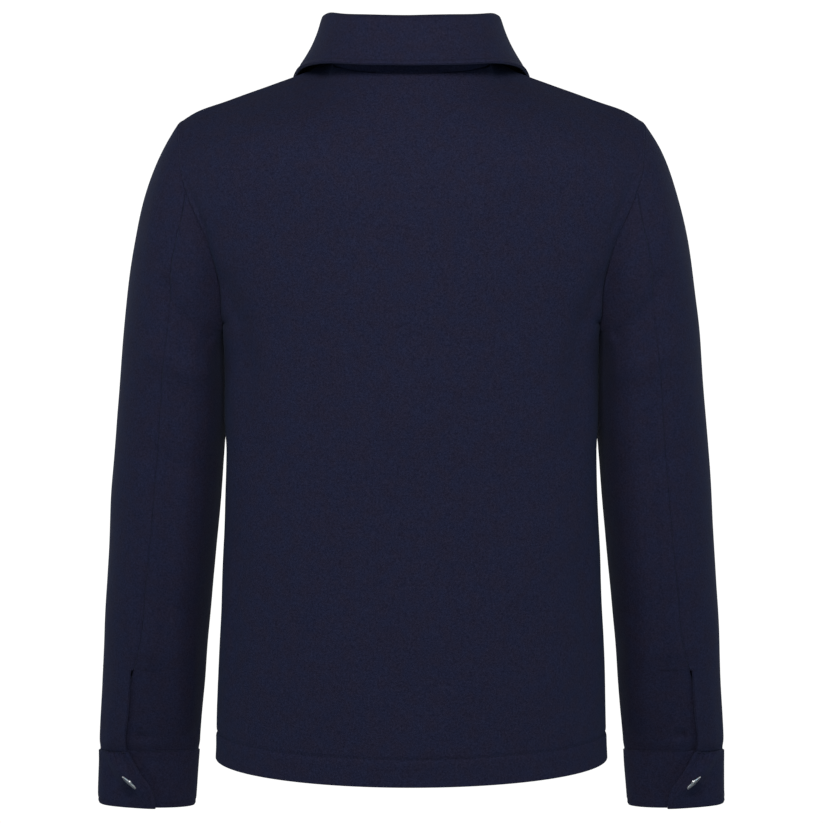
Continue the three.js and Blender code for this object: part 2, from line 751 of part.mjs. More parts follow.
// A domed metal button with a rounded rim, its back on the plane z = 0 and its face towards +z
function buttonGeometry() {
  const profile = buttonProfile.map(
    (row) => new THREE.Vector2(row.radius * button.radius, row.height * button.height),
  );
  return new THREE.LatheGeometry(profile, button.facets).rotateX(Math.PI / 2);
}

function buttonMesh(name, place, facing) {
  const mesh = new THREE.Mesh(
    buttonGeometry(),
    new THREE.MeshStandardMaterial({ color: steel, roughness: 0.35, metalness: 1 }),
  );
  mesh.name = name;
  mesh.position.copy(place);
  mesh.quaternion.setFromUnitVectors(new THREE.Vector3(0, 0, 1), facing.clone().normalize());
  return mesh;
}

// The left front's centre line, where its buttons sit
function frontCentreAt(z) {
  const grid = leftFrontGrid();
  const column = grid[0].length - 2;
  const line = grid.map((row) => row[column]);
  const above = line.findIndex((p) => p.z > z);
  const low = line[above - 1];
  const high = line[above];
  const place = low.clone().lerp(high, (z - low.z) / (high.z - low.z));
  const slope = high.clone().sub(low).normalize();
  return { place, facing: new THREE.Vector3(0, -slope.z, slope.y) };
}

const jacket = new THREE.Group();
for (const panel of panels) {
  const mesh = new THREE.Mesh(
    wall(panel),
    new THREE.MeshStandardMaterial({ color: navy, roughness: 0.95, metalness: 0 }),
  );
  mesh.name = panel.name;
  jacket.add(mesh);
}
for (let i = 0; i < frontButtons.count; i++) {
  const z = lerp(frontButtons.topZ, frontButtons.bottomZ, i / (frontButtons.count - 1));
  const { place, facing } = frontCentreAt(z);
  place.addScaledVector(facing, button.clearance);
  jacket.add(buttonMesh(`front_button_${i + 1}`, place, facing));
}
for (const side of ["left", "right"]) {
  const place = side === "left" ? cuffButton.seat : mirrored(cuffButton.seat);
  const facing = side === "left" ? cuffButton.facing : mirrored(cuffButton.facing);
  jacket.add(buttonMesh(`cuff_button_${side}`, place, facing));
}

export default jacket;
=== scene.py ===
"""Shirt jacket of navy wool cloth, filled out as on a wearer, seen from behind."""

import math
import random
from collections import namedtuple

import bmesh
import bpy
import numpy as np
from mathutils import Matrix, Vector, bvhtree, kdtree, noise


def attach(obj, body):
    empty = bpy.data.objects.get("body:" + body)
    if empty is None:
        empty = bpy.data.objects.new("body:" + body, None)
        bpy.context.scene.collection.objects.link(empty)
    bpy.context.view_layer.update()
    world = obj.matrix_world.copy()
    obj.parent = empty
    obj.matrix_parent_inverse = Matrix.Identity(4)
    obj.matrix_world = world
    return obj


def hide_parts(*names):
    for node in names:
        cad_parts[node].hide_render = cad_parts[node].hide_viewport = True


MM = 0.001

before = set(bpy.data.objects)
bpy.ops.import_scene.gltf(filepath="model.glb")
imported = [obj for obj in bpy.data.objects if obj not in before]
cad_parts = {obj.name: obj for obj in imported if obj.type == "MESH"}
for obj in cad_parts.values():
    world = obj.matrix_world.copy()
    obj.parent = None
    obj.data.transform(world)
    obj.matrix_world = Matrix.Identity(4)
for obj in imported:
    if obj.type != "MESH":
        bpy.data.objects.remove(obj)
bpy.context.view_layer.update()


def let_go():
    """Nothing is selected."""
    bpy.ops.object.select_all(action="DESELECT")


def take_up(piece):
    """The piece alone is selected and active."""
    let_go()
    piece.select_set(True)
    bpy.context.view_layer.objects.active = piece


def apply_modifiers(piece):
    """Makes the piece's modifiers part of its mesh."""
    take_up(piece)
    for modifier in list(piece.modifiers):
        bpy.ops.object.modifier_apply(modifier=modifier.name)


let_go()

# Panels of cloth: wall in mm, rows and columns of the solid's net, rounds of subdivision, flat width and
# length in m, flat area in square metres, how it is held and what it rests on
Panel = namedtuple("Panel", "wall rows columns rounds flat area held rests_on")
PANELS = {
    "back": Panel(2.0, 21, 27, 3, (0.54, 0.70), 0.320, "hung", ["collar_stand_cloth"]),
    "front_left": Panel(2.0, 21, 16, 3, (0.30, 0.66), 0.155, "hung", ["back_cloth"]),
    "front_right": Panel(2.0, 21, 16, 3, (0.30, 0.66), 0.155, "hung", ["back_cloth"]),
    "collar_stand": Panel(3.4, 4, 27, 2, (0.46, 0.040), 0.0168, "stretched", ["back_cloth"]),
    "collar_leaf": Panel(3.4, 14, 27, 3, (0.64, 0.090), 0.0463, "folded", ["collar_stand_cloth"]),
    "upper_sleeve_left": Panel(2.0, 21, 13, 3, (0.22, 0.66), 0.116, "hung", ["back_cloth"]),
    "under_sleeve_left": Panel(2.0, 21, 13, 3, (0.16, 0.56), 0.066, "hung", ["back_cloth"]),
    "cuff_left": Panel(3.0, 6, 29, 3, (0.31, 0.060), 0.0166, "hung", ["upper_sleeve_left_cloth"]),
    "upper_sleeve_right": Panel(2.0, 21, 13, 3, (0.22, 0.66), 0.116, "hung", ["back_cloth"]),
    "under_sleeve_right": Panel(2.0, 21, 13, 3, (0.16, 0.56), 0.066, "hung", ["back_cloth"]),
    "cuff_right": Panel(3.0, 6, 29, 3, (0.31, 0.060), 0.0166, "hung", ["upper_sleeve_right_cloth"]),
}

BODY = ("back", "front_left", "front_right")
SLEEVES = ("upper_sleeve_left", "under_sleeve_left", "upper_sleeve_right", "under_sleeve_right")
CUFFS = ("cuff_left", "cuff_right")

# An edge across the wall is as long as the wall is thick, within this in m
RUNG_SLACK = 2e-6

# Rounds in which the smooth surface is brought back onto the solid's points
FIT_ROUNDS = 7

# A rim this near to another panel is sewn to it, with more room at the panel's lowest and highest row
SEWN_WITHIN = 0.6 * MM
SEWN_AT_THE_ENDS_WITHIN = 1.3 * MM

# How far a sewn edge reaches towards the next piece in mm, and further where a piece's foot goes in under it
SEAM_CLOSING = 0.25
FOOT_CLOSING = {"collar_stand": 3.0, **dict.fromkeys(SLEEVES, 2.2)}

# Outer corner of a sewn edge in mm, and of a free edge as a share of the wall
SEAM_RADIUS = 0.8
FREE_EDGE_RADIUS = 0.45

# The place across the wall goes from 0 on the outer side to 1 on the inner side
ON_OUTER_SIDE = 1e-4
NEAR_MIDDLE = 0.02

# A vertex this near to a row or column of the net lies on it, and two this near to each other share theirs
ON_A_ROW = 0.01
SAME_ROW = 1e-3


def merged_copy(node, name):
    """A copy of the solid's mesh with its loose triangles joined."""
    piece = bpy.data.objects.new(name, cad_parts[node].data.copy())
    bpy.context.scene.collection.objects.link(piece)
    take_up(piece)
    bpy.ops.object.mode_set(mode="EDIT")
    bpy.ops.mesh.select_all(action="SELECT")
    bpy.ops.mesh.remove_doubles(threshold=1e-6)
    bpy.ops.object.mode_set(mode="OBJECT")
    return piece


def surface_of(nodes):
    """The surface of these solids together, to measure from and to cast rays at."""
    corners, faces = [], []
    for node in nodes:
        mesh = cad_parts[node].data
        faces += [[v + len(corners) for v in polygon.vertices] for polygon in mesh.polygons]
        corners += [v.co.copy() for v in mesh.vertices]
    return bvhtree.BVHTree.FromPolygons(corners, faces)


def places(mesh):
    """The places of all vertices, a row for each."""
    co = np.empty(len(mesh.vertices) * 3, np.float32)
    mesh.vertices.foreach_get("co", co)
    return co.reshape(-1, 3).astype(float)


def normals(mesh):
    """The outward directions at all vertices, a row for each."""
    out = np.empty(len(mesh.vertices) * 3, np.float32)
    mesh.vertex_normals.foreach_get("vector", out)
    return out.reshape(-1, 3).astype(float)


def put_places(mesh, co):
    """Moves all vertices to these places."""
    mesh.vertices.foreach_set("co", co.astype(np.float32).ravel())
    mesh.update()


def values(mesh, name):
    """The numbers that this attribute holds for all vertices."""
    out = np.empty(len(mesh.vertices), np.float32)
    mesh.attributes[name].data.foreach_get("value", out)
    return out.astype(float)


def walk_sheet(loop, faces_of, rows, columns):
    """The net of one side of the wall, from a loop that may start at its corner, or None."""
    count = len(loop)
    net = [[None] * columns for _ in range(rows)]
    net[0] = [loop[i % count] for i in range(columns)]
    for j in range(1, rows):
        net[j][0] = loop[-j % count]
    used = set()

    def third(a, b):
        """The unused triangle on this edge and its third corner."""
        found = [f for f in faces_of.get(frozenset((a, b)), ()) if f not in used]
        if len(found) != 1:
            return None, None
        return found[0], next(v for v in found[0] if v not in (a, b))

    for j in range(rows - 1):
        for i in range(columns - 1):
            a, b, c = net[j][i], net[j][i + 1], net[j + 1][i]
            face, corner = third(a, b)
            if face is None:
                return None
            used.add(face)
            if corner == c:
                other, corner = third(b, c)
            else:
                other, last = third(a, corner)
                if last != c:
                    return None
            if other is None:
                return None
            used.add(other)
            if net[j + 1][i + 1] not in (None, corner):
                return None
            net[j + 1][i + 1] = corner
    return net if around(np.array(net)) == loop else None


def around(net):
    """The net's outermost vertices in order."""
    return [*net[0], *net[1:, -1], *net[-1, -2::-1], *net[-2:0:-1, 0]]


def find_nets(piece, wall, rows, columns):
    """Vertex numbers of the wall's outer and inner side by row and column, and each rim vertex's partner.

    Rows run upwards, and columns run to the left as seen from outside.
    """
    mesh = piece.data
    bm = bmesh.new()
    bm.from_mesh(mesh)
    rungs = {e for e in bm.edges if abs(e.calc_length() - wall * MM) < RUNG_SLACK}
    rim = {f for f in bm.faces if any(e in rungs for e in f.edges)}
    partner = {}
    for e in rungs:
        a, b = (v.index for v in e.verts)
        partner[a], partner[b] = b, a
    next_on_rim = {}
    for e in bm.edges:
        if sum(f in rim for f in e.link_faces) == 1:
            a, b = (v.index for v in e.verts)
            next_on_rim.setdefault(a, []).append(b)
            next_on_rim.setdefault(b, []).append(a)
    faces_of = {}
    area_at = {}
    for f in bm.faces:
        if f in rim:
            continue
        corners = tuple(v.index for v in f.verts)
        for k in range(3):
            faces_of.setdefault(frozenset((corners[k], corners[k - 1])), []).append(corners)
        area_at[corners[0]] = area_at.get(corners[0], 0) + f.calc_area()
    bm.free()
    sides = []
    seen = set()
    for start in next_on_rim:
        if start in seen:
            continue
        loop = [start, next_on_rim[start][0]]
        while len(loop) < len(next_on_rim) // 2:
            loop.append(next(v for v in next_on_rim[loop[-1]] if v != loop[-2]))
        seen.update(loop)
        net = None
        for way in (loop, loop[::-1]):
            for turn in range(len(way)):
                net = net or walk_sheet(way[turn:] + way[:turn], faces_of, rows, columns)
        area = sum(area_at.get(v, 0) for row in net for v in row)
        sides.append((area, np.array(net)))
    sides.sort(key=lambda side: -side[0])
    outer, inner = sides[0][1], sides[1][1]
    co, out = places(mesh), normals(mesh)
    if co[outer[0], 2].mean() > co[outer[-1], 2].mean():
        outer = outer[::-1]
    j, i = rows // 2, columns // 2
    up = co[outer[j, i]] - co[outer[j - 1, i]]
    along = co[outer[j, i]] - co[outer[j, i - 1]]
    if np.cross(up, along) @ out[outer[j, i]] < 0:
        outer = outer[:, ::-1]
    return outer, inner, partner


def four_sided(piece, wall, rows, columns):
    """Joins the triangles to the net's four-sided cells, creases the rims and notes each vertex's place."""
    mesh = piece.data
    outer, inner, partner = find_nets(piece, wall, rows, columns)
    cells = set()
    rims = set()
    for net in (outer, inner):
        for side in (net, net.T):
            cells |= {frozenset(pair) for row in side for pair in zip(row[:-1], row[1:])}
        edge = around(net)
        rims |= {frozenset((edge[k], edge[k - 1])) for k in range(len(edge))}
    rungs = {frozenset(pair) for pair in partner.items()}
    rims |= {frozenset((v, partner[v])) for v in outer[[0, 0, -1, -1], [0, -1, 0, -1]]}
    mesh.vertices.foreach_set("select", [False] * len(mesh.vertices))
    mesh.polygons.foreach_set("select", [False] * len(mesh.polygons))
    crease = mesh.attributes.new("crease_edge", "FLOAT", "EDGE")
    for edge in mesh.edges:
        ends = frozenset(edge.vertices)
        edge.select = ends not in cells and ends not in rungs
        crease.data[edge.index].value = float(ends in rims)
    place = {name: np.zeros(len(mesh.vertices)) for name in ("net_row", "net_column", "wall_inside", "sewn")}
    beside = surface_of([name for name in PANELS if f"{name}_cloth" != piece.name])
    place["wall_inside"][inner.ravel()] = 1.0
    for j in range(rows):
        within = SEWN_AT_THE_ENDS_WITHIN if j in (0, rows - 1) else SEWN_WITHIN
        for i in range(columns):
            v = outer[j, i]
            is_sewn = v in partner and beside.find_nearest(mesh.vertices[v].co)[3] < within
            for vertex in {v, partner.get(v, v)}:
                place["net_row"][vertex] = j
                place["net_column"][vertex] = i
                place["sewn"][vertex] = float(is_sewn)
    for name, numbers in place.items():
        mesh.attributes.new(name, "FLOAT", "POINT")
        mesh.attributes[name].data.foreach_set("value", numbers)
    take_up(piece)
    bpy.context.tool_settings.mesh_select_mode = (False, True, False)
    bpy.ops.object.mode_set(mode="EDIT")
    bpy.ops.mesh.dissolve_edges(use_verts=False)
    bpy.ops.object.mode_set(mode="OBJECT")


def smooth_through_net(piece, levels):
    """Subdivides the cloth so that its smooth surface still runs through the solid's own points."""
    wanted = places(piece.data)
    modifier = piece.modifiers.new("Smooth", "SUBSURF")
    modifier.levels = modifier.render_levels = 1
    cage = wanted.copy()
    for _ in range(FIT_ROUNDS):
        bpy.context.view_layer.update()
        shown = piece.evaluated_get(bpy.context.evaluated_depsgraph_get())
        cage += wanted - places(shown.data)[: len(cage)]
        put_places(piece.data, cage)
    modifier.levels = modifier.render_levels = levels
    apply_modifiers(piece)


def close_rows_by_the_rims(piece, cuts):
    """More rows of vertices just inside the outer side's rims, so that a seam's edge can turn sharply."""
    mesh = piece.data
    inside = values(mesh, "wall_inside")
    bm = bmesh.new()
    bm.from_mesh(mesh)
    outer = {v for v in bm.verts if inside[v.index] < ON_OUTER_SIDE}
    rim = {v for v in outer if any(0 < inside[e.other_vert(v).index] < 1 for e in v.link_edges)}
    rungs = [e for v in rim for e in v.link_edges if e.other_vert(v) in outer and e.other_vert(v) not in rim]
    bmesh.ops.subdivide_edges(bm, edges=rungs, cuts=cuts, use_grid_fill=True)
    bm.to_mesh(mesh)
    bm.free()


def slice_level(piece, heights):
    """Level rows of vertices at these heights in mm, for the hem's stitching."""
    bm = bmesh.new()
    bm.from_mesh(piece.data)
    for z in heights:
        bmesh.ops.bisect_plane(
            bm, geom=[*bm.verts, *bm.edges, *bm.faces], plane_co=(0, 0, z * MM), plane_no=(0, 0, 1)
        )
    bm.to_mesh(piece.data)
    bm.free()


def find_nearest(co, numbers, points):
    """For each point the nearest of these vertices, and how far away it is."""
    tree = kdtree.KDTree(len(numbers))
    for v in numbers:
        tree.insert(co[v], int(v))
    tree.balance()
    found = [tree.find(point) for point in points]
    return np.array([hit[1] for hit in found]), np.array([hit[2] for hit in found])


class Cloth:
    """A panel's vertices before shaping, each with its place and outward direction on the outer side."""

    def __init__(self, piece, wall, rows, columns):
        self.piece = piece
        self.wall = wall
        self.rows, self.columns = rows, columns
        mesh = piece.data
        self.co = places(mesh)
        self.inside = values(mesh, "wall_inside")
        self.sewn = values(mesh, "sewn")
        self.row = values(mesh, "net_row")
        self.column = values(mesh, "net_column")
        out = normals(mesh)
        faces = np.empty(len(mesh.loops), np.int32)
        mesh.loops.foreach_get("vertex_index", faces)
        starts = np.empty(len(mesh.polygons), np.int32)
        mesh.polygons.foreach_get("loop_start", starts)
        depth = self.inside[faces]
        across = np.maximum.reduceat(depth, starts) - np.minimum.reduceat(depth, starts) > SAME_ROW
        sizes = np.diff([*starts, len(faces)])
        self.on_rim = np.zeros(len(self.co), bool)
        self.on_rim[faces[np.repeat(across, sizes)]] = True
        self.outer = np.flatnonzero(self.inside < ON_OUTER_SIDE)
        near, _ = find_nearest(self.co, self.outer[~self.on_rim[self.outer]], self.co)
        self.out = out[near]
        self.home = self.co - self.out * (np.einsum("ij,ij->i", self.co - self.co[near], self.out))[:, None]
        self.z = self.home[:, 2] / MM
        self.middle = np.flatnonzero(np.abs(self.inside - 0.5) < NEAR_MIDDLE)
        self.rim_out = out[self.middle]
        self.shift = np.zeros_like(self.co)

    def side_middle(self, sides):
        """Numbers within middle, in order, of the vertices along the wall's edge on each of these sides."""
        row, column = self.row[self.middle], self.column[self.middle]
        on_side = {
            "bottom": (row < ON_A_ROW, column),
            "start": (column < ON_A_ROW, row),
            "end": (column > self.columns - 1 - ON_A_ROW, row),
        }
        chosen = []
        for side in sides:
            on, order = on_side[side]
            numbers = np.flatnonzero(on)
            chosen.append(numbers[np.argsort(order[numbers])])
        return chosen

    def round_the_rims(self, foot_closing):
        """Rounds the wall's edges and lets the sewn ones reach out to close their seams."""
        rim = np.flatnonzero(self.on_rim)
        near, _ = find_nearest(self.co, self.middle, self.co[rim])
        number = {v: k for k, v in enumerate(self.middle)}
        away = self.rim_out[[number[v] for v in near]]
        sewn = self.sewn[rim]
        radius = (SEAM_RADIUS * sewn + FREE_EDGE_RADIUS * self.wall * (1 - sewn)) * MM
        t = 2 * self.inside[rim] - 1
        closing = np.where(self.row[rim] < ON_A_ROW, foot_closing, SEAM_CLOSING)
        pull = radius * (1 - np.sqrt(np.clip(1 - t * t, 0, 1))) - closing * MM * sewn
        self.shift[rim] -= away * pull[:, None]

    def edge_distance(self, sides):
        """How far each vertex is from the edges on these sides, in mm."""
        numbers = self.middle[np.concatenate(self.side_middle(sides))]
        _, distance = find_nearest(self.co, numbers, self.home)
        return np.sqrt(np.maximum((distance / MM) ** 2 - (self.wall / 2) ** 2, 0))

    def beside_edge(self, sides, reach):
        """1 on the edges on these sides, falling to 0 at this distance in mm from them."""
        return 1 - step(self.edge_distance(sides), 0.0, reach)

    def raise_by(self, height):
        """Moves the wall along its outward direction by these heights in mm."""
        self.shift += self.out * (height * MM)[:, None]

    def finish(self):
        """Puts the shape into the mesh and takes the working numbers off it."""
        put_places(self.piece.data, self.co + self.shift)
        for name in ("net_row", "net_column", "wall_inside", "sewn", "crease_edge"):
            attribute = self.piece.data.attributes.get(name)
            if attribute:
                self.piece.data.attributes.remove(attribute)
        take_up(self.piece)
        bpy.ops.object.shade_smooth()


def soft(distance, width):
    """A soft rise of height 1 where the distance is 0."""
    return np.exp(-0.5 * (distance / width) ** 2)


def step(value, start, end):
    """A soft step from 0 at the start to 1 at the end."""
    t = np.clip((value - start) / (end - start), 0, 1)
    return t * t * (3 - 2 * t)


def band(value, low, low_full, high_full, high):
    """1 between the two full values, falling softly to 0 at low and at high."""
    return step(value, low, low_full) * (1 - step(value, high_full, high))


# Folds and hollows of the cloth as it hangs: name, seen from behind (+1) or in front (-1), on both sides or
# at the centre, height and breadth in mm, and its line's points as x and z in mm
FOLDS = [
    ("armpit hollow", 1, True, -2.5, 22, [(176.1, -199.2), (161.5, -233.9), (148.7, -279.2)]),
    ("shoulder blade", 1, True, 2.0, 45, [(83.4, -80.0), (65.2, -116.7)]),
    ("waist hollow", 1, True, -2.0, 30, [(163.4, -273.8), (153.4, -306.8), (149.0, -349.5)]),
    ("low side hollow", 1, True, -2.0, 25, [(161.1, -459.4), (169.3, -536.6), (166.1, -599.7)]),
    ("hip swell", 1, True, 1.5, 35, [(103.7, -435.2), (99.3, -492.5)]),
    ("back swell", 1, False, 1.5, 50, [(0.0, -321.3), (4.0, -300.0)]),
    ("small of the back", 1, False, -1.0, 30, [(0.0, -396.7), (0.0, -439.4)]),
    ("tail hollow", 1, False, -1.0, 30, [(0.0, -587.4), (-3.0, -560.0)]),
    ("armpit dent", 1, True, -2.5, 16, [(228.6, -203.7), (226.9, -217.0), (213.9, -234.1), (194.3, -255.0)]),
    ("dent's lower ridge", 1, True, 2.0, 20, [(246.8, -267.4), (222.4, -280.8), (196.0, -286.5)]),
    ("elbow hollow", 1, True, -1.5, 20, [(250.6, -364.7), (224.0, -374.4), (193.6, -387.9)]),
    ("forearm hollow", 1, True, -1.2, 22, [(255.7, -510.7), (208.6, -524.5)]),
    ("forearm swell", 1, True, 1.0, 24, [(262.5, -561.0), (209.2, -565.0)]),
    ("hollow above the cuff", 1, True, -1.5, 9, [(264.3, -652.7), (210.6, -652.7)]),
    ("sleeve head", 1, True, 1.5, 25, [(233.4, -102.4), (245.4, -160.8)]),
    ("fold beside the armhole", 1, True, -1.0, 6,
     [(209.5, -108.9), (200.4, -125.7), (194.9, -141.6), (190.4, -154.7)]),
    ("chest hollow", -1, True, -2.2, 26, [(172.0, -190.0), (150.0, -232.0), (128.0, -262.0)]),
    ("chest swell", -1, True, 2.0, 50, [(92.0, -120.0), (86.0, -182.0)]),
    ("front waist hollow", -1, True, -2.0, 34, [(158.0, -300.0), (146.0, -352.0), (128.0, -392.0)]),
    ("front hip swell", -1, True, 1.6, 40, [(104.0, -470.0), (96.0, -548.0)]),
    ("front low hollow", -1, True, -1.6, 28, [(64.0, -520.0), (58.0, -630.0)]),
    ("front side fold", -1, True, 1.5, 22, [(150.0, -480.0), (158.0, -600.0)]),
    ("crook of the elbow", -1, True, -2.6, 15, [(252.0, -352.0), (226.0, -366.0), (204.0, -360.0)]),
    ("crook's upper ridge", -1, True, 1.8, 18, [(250.0, -318.0), (228.0, -330.0), (206.0, -326.0)]),
    ("crook's lower ridge", -1, True, 1.6, 18, [(256.0, -396.0), (230.0, -402.0), (206.0, -394.0)]),
    ("front forearm hollow", -1, True, -1.4, 20, [(262.0, -492.0), (232.0, -506.0), (210.0, -500.0)]),
    ("front hollow above the cuff", -1, True, -1.4, 10, [(268.0, -640.0), (240.0, -648.0), (218.0, -644.0)]),
]

# Every fold's height is made this much greater; its soft width is its breadth over this, and it ends at this
# many widths
FOLD_DEPTH = 2.1
WIDTHS_IN_A_BREADTH = 2.4
FOLD_REACH = 3.2

# How far the right side's folds stray from the left side's: across and up in mm, and in height as a share
UNEVEN = random.Random(11)
SLIP_ACROSS = 3
SLIP_UP = 5
WEAKEST, STRONGEST = 0.8, 1.1


def fold_lines():
    """Each fold's line laid on the cloth, with its height and breadth."""
    everything = surface_of(PANELS)
    lines = []
    for _, facing, on_both, height, breadth, points in FOLDS:
        for side in (1, -1) if on_both else (1,):
            slip, firmness = Vector(), FOLD_DEPTH
            if side < 0:
                across = UNEVEN.uniform(-SLIP_ACROSS, SLIP_ACROSS)
                slip = Vector((across, 0, UNEVEN.uniform(-SLIP_UP, SLIP_UP)))
                firmness *= UNEVEN.uniform(WEAKEST, STRONGEST)
            laid = []
            for x, z in points:
                start = Vector((side * x, facing * 1000, z)) + slip
                hit = everything.ray_cast(start * MM, Vector((0, -facing, 0)))[0]
                if hit:
                    laid.append(np.array(hit))
            lines.append((facing, height * firmness, breadth / WIDTHS_IN_A_BREADTH, laid))
    return lines


def lay_folds(cloth, lines):
    """Moves the wall straight in or out, as seen from behind or in front, beside each fold's line."""
    for facing, height, width, points in lines:
        reach = FOLD_REACH * width * MM
        low, high = np.min(points, 0) - reach, np.max(points, 0) + reach
        near = np.flatnonzero(np.all((cloth.home > low) & (cloth.home < high), 1))
        if not len(near):
            continue
        at = cloth.home[near]
        distance = np.full(len(near), np.inf)
        for a, b in zip(points, points[1:]):
            along = b - a
            t = np.clip((at - a) @ along / (along @ along), 0, 1)
            distance = np.minimum(distance, np.linalg.norm(at - a - t[:, None] * along, axis=1))
        cloth.shift[near, 1] += facing * height * MM * soft(distance / MM, width)


def settle(cloth, height, size, seed):
    """Slight unevenness of the hanging cloth, in mm, that dies out at the seams."""
    _, to_rim = find_nearest(cloth.co, cloth.middle, cloth.home)
    amount = step(to_rim / MM, *UNEVEN_FROM_RIM)
    wave = np.zeros(len(cloth.co))
    for k in np.flatnonzero(amount > 0):
        wave[k] = noise.noise(Vector(cloth.home[k] / MM / size) + Vector((seed, 0, 0)))
    cloth.raise_by(height * wave * amount)


# Bands of height in mm in which a shape holds: from nothing at the first to full at the second, and from full
# at the third to nothing at the last
PRESSED_TOGETHER = (-366.0, -338.0, -232.0, -205.0)
SQUARE_SLEEVE = (-668.0, -610.0, -262.0, -212.0)

# How far sleeve and body move towards each other, and the sleeve's inner back corner out, in mm
SLEEVE_PRESS = 2.0
BODY_PRESS = 1.3
SLEEVE_CORNER = 5.0

# Where the solid's rows bend and the cloth doesn't: lowest and highest place in mm, rounds of evening out
UNDERARM_BEND = (-400.0, -130.0, 120)
FOREARM_BEND = (-690.0, -470.0, 60)
EVENED_SOFTLY_WITHIN = 60.0

# Distances in mm from a panel's rim over which its evening out and its unevenness set in
EVENED_FROM_RIM = (2.0, 22.0)
UNEVEN_FROM_RIM = (1.0, 14.0)

# How squarely the body and the sleeve's inner side face each other where they start to move and move fully
SLEEVE_FACES_BODY = (0.2, 0.8)
BODY_FACES_SLEEVE = (0.3, 0.9)

# The cuff's top edge looks inwards from these heights beside it, this far at most, stays this clear of what it
# finds, in mm, and bends over this many rows of its net
SEEN_FROM_TOP = (1.5, -3.0)
OUT_OF_REACH = 9.0
LEFT_CLEAR = 0.5
LEANING_ROWS = 1.6


def meet_at_the_side(cloth, node):
    """Sleeve and body press lightly together below the armpit, down to where the gap between them opens."""
    press = band(cloth.z, *PRESSED_TOGETHER)
    side = np.sign(cloth.home[:, 0])
    outward = cloth.out[:, 0] * side
    if node in SLEEVES:
        cloth.shift[:, 0] -= side * SLEEVE_PRESS * MM * press * step(-outward, *SLEEVE_FACES_BODY)
    elif node in BODY:
        cloth.shift[:, 0] += side * BODY_PRESS * MM * press * step(outward, *BODY_FACES_SLEEVE)


def even_out_rows(cloth, low, high, rounds):
    """Spreads a bend at one row softly up and down the panel, between these heights in mm."""
    mesh = cloth.piece.data
    pairs = np.empty(len(mesh.edges) * 2, np.int32)
    mesh.edges.foreach_get("vertices", pairs)
    a, b = pairs.reshape(-1, 2).T
    same_column = np.abs(cloth.column[a] - cloth.column[b]) < SAME_ROW
    same_side = np.abs(cloth.inside[a] - cloth.inside[b]) < SAME_ROW
    upright = same_column & same_side
    a, b = a[upright], b[upright]
    total = len(cloth.co)
    count = np.bincount(a, minlength=total) + np.bincount(b, minlength=total)
    _, to_rim = find_nearest(cloth.co, cloth.middle, cloth.home)
    weight = 0.5 * step(to_rim / MM, *EVENED_FROM_RIM)
    weight *= band(cloth.z, low, low + EVENED_SOFTLY_WITHIN, high - EVENED_SOFTLY_WITHIN, high)
    weight[count < 2] = 0
    moved = cloth.co.copy()
    for _ in range(rounds):
        sums = [np.bincount(a, moved[b, k], total) + np.bincount(b, moved[a, k], total) for k in range(3)]
        beside = np.stack(sums, axis=1) / np.maximum(count, 1)[:, None]
        pull = np.einsum("ij,ij->i", beside - moved, cloth.out) * weight
        moved += cloth.out * pull[:, None]
    cloth.shift += moved - cloth.co


def square_the_sleeve(cloth):
    """The sleeve lies flatter at the back and turns more sharply at its inner side."""
    inward = -cloth.out[:, 0] * np.sign(cloth.home[:, 0])
    corner = band(inward, 0.10, 0.60, 0.75, 0.99) * (cloth.out[:, 1] > 0)
    cloth.shift[:, 1] += SLEEVE_CORNER * MM * band(cloth.z, *SQUARE_SLEEVE) * corner


def lean_in(cloth, everything):
    """How far in mm the cuff's top edge goes in to lie on the sleeve or on the cuff's own end."""
    top = np.flatnonzero((cloth.row > cloth.rows - 1 - ON_A_ROW) & (cloth.inside > 1 - ON_A_ROW))
    top = top[np.argsort(cloth.column[top])]
    stand_off = []
    for v in top:
        clear = OUT_OF_REACH
        for rise in SEEN_FROM_TOP:
            start = cloth.co[v] - cloth.out[v] * 0.1 * MM + np.array([0, 0, rise * MM])
            hit = everything.ray_cast(Vector(start), Vector(-cloth.out[v]))
            if hit[0]:
                clear = min(clear, hit[3] / MM)
        stand_off.append(clear if clear < OUT_OF_REACH - 0.1 else 0.0)
    depth = np.interp(cloth.column, cloth.column[top], np.maximum(np.array(stand_off) - LEFT_CLEAR, 0.0))
    return depth * step(cloth.row, cloth.rows - 1 - LEANING_ROWS, cloth.rows - 1)


# The hem's stitches lie this high, with rows of vertices beside them; they draw the cloth in, and the
# turned-up band below stands out
HEM_STITCH = -671.8 + 27.0
HEM_ROWS = [HEM_STITCH + offset for offset in (-4.0, -2.4, -1.2, 0.0, 1.2, 2.4, 4.0)]
HEM_GROOVE, HEM_GROOVE_WIDTH = 1.0, 1.3
HEM_BAND = 0.5

# Stitched edges: how far in from the edge in mm, on which sides of the panel, and the name of the thread
STITCHED = {
    "collar_leaf": (5.2, ["bottom", "start", "end"], "collar_stitching"),
    "front_left": (6.0, ["end"], "left_front_stitching"),
    "front_right": (6.0, ["start"], "right_front_stitching"),
    "cuff_left": (5.0, ["bottom", "start", "end"], "left_cuff_stitching"),
    "cuff_right": (5.0, ["bottom", "start", "end"], "right_cuff_stitching"),
}
EDGE_GROOVE, EDGE_GROOVE_WIDTH = 0.6, 1.1
EDGE_RIDGE = 0.4

# The back stands up a little beside the armhole seam, above its lowest stretch
ARMHOLE_RIDGE, ARMHOLE_RIDGE_FROM_EDGE, ARMHOLE_RIDGE_WIDTH = 0.7, 1.6, 0.9
ARMHOLE_RIDGE_STARTS = (-165.0, -140.0)

# The sleeve's seams are drawn in, above the vent
SEAM_FURROW, SEAM_FURROW_WIDTH = 0.9, 1.5
SEAM_FURROW_STARTS = (-585.0, -560.0)

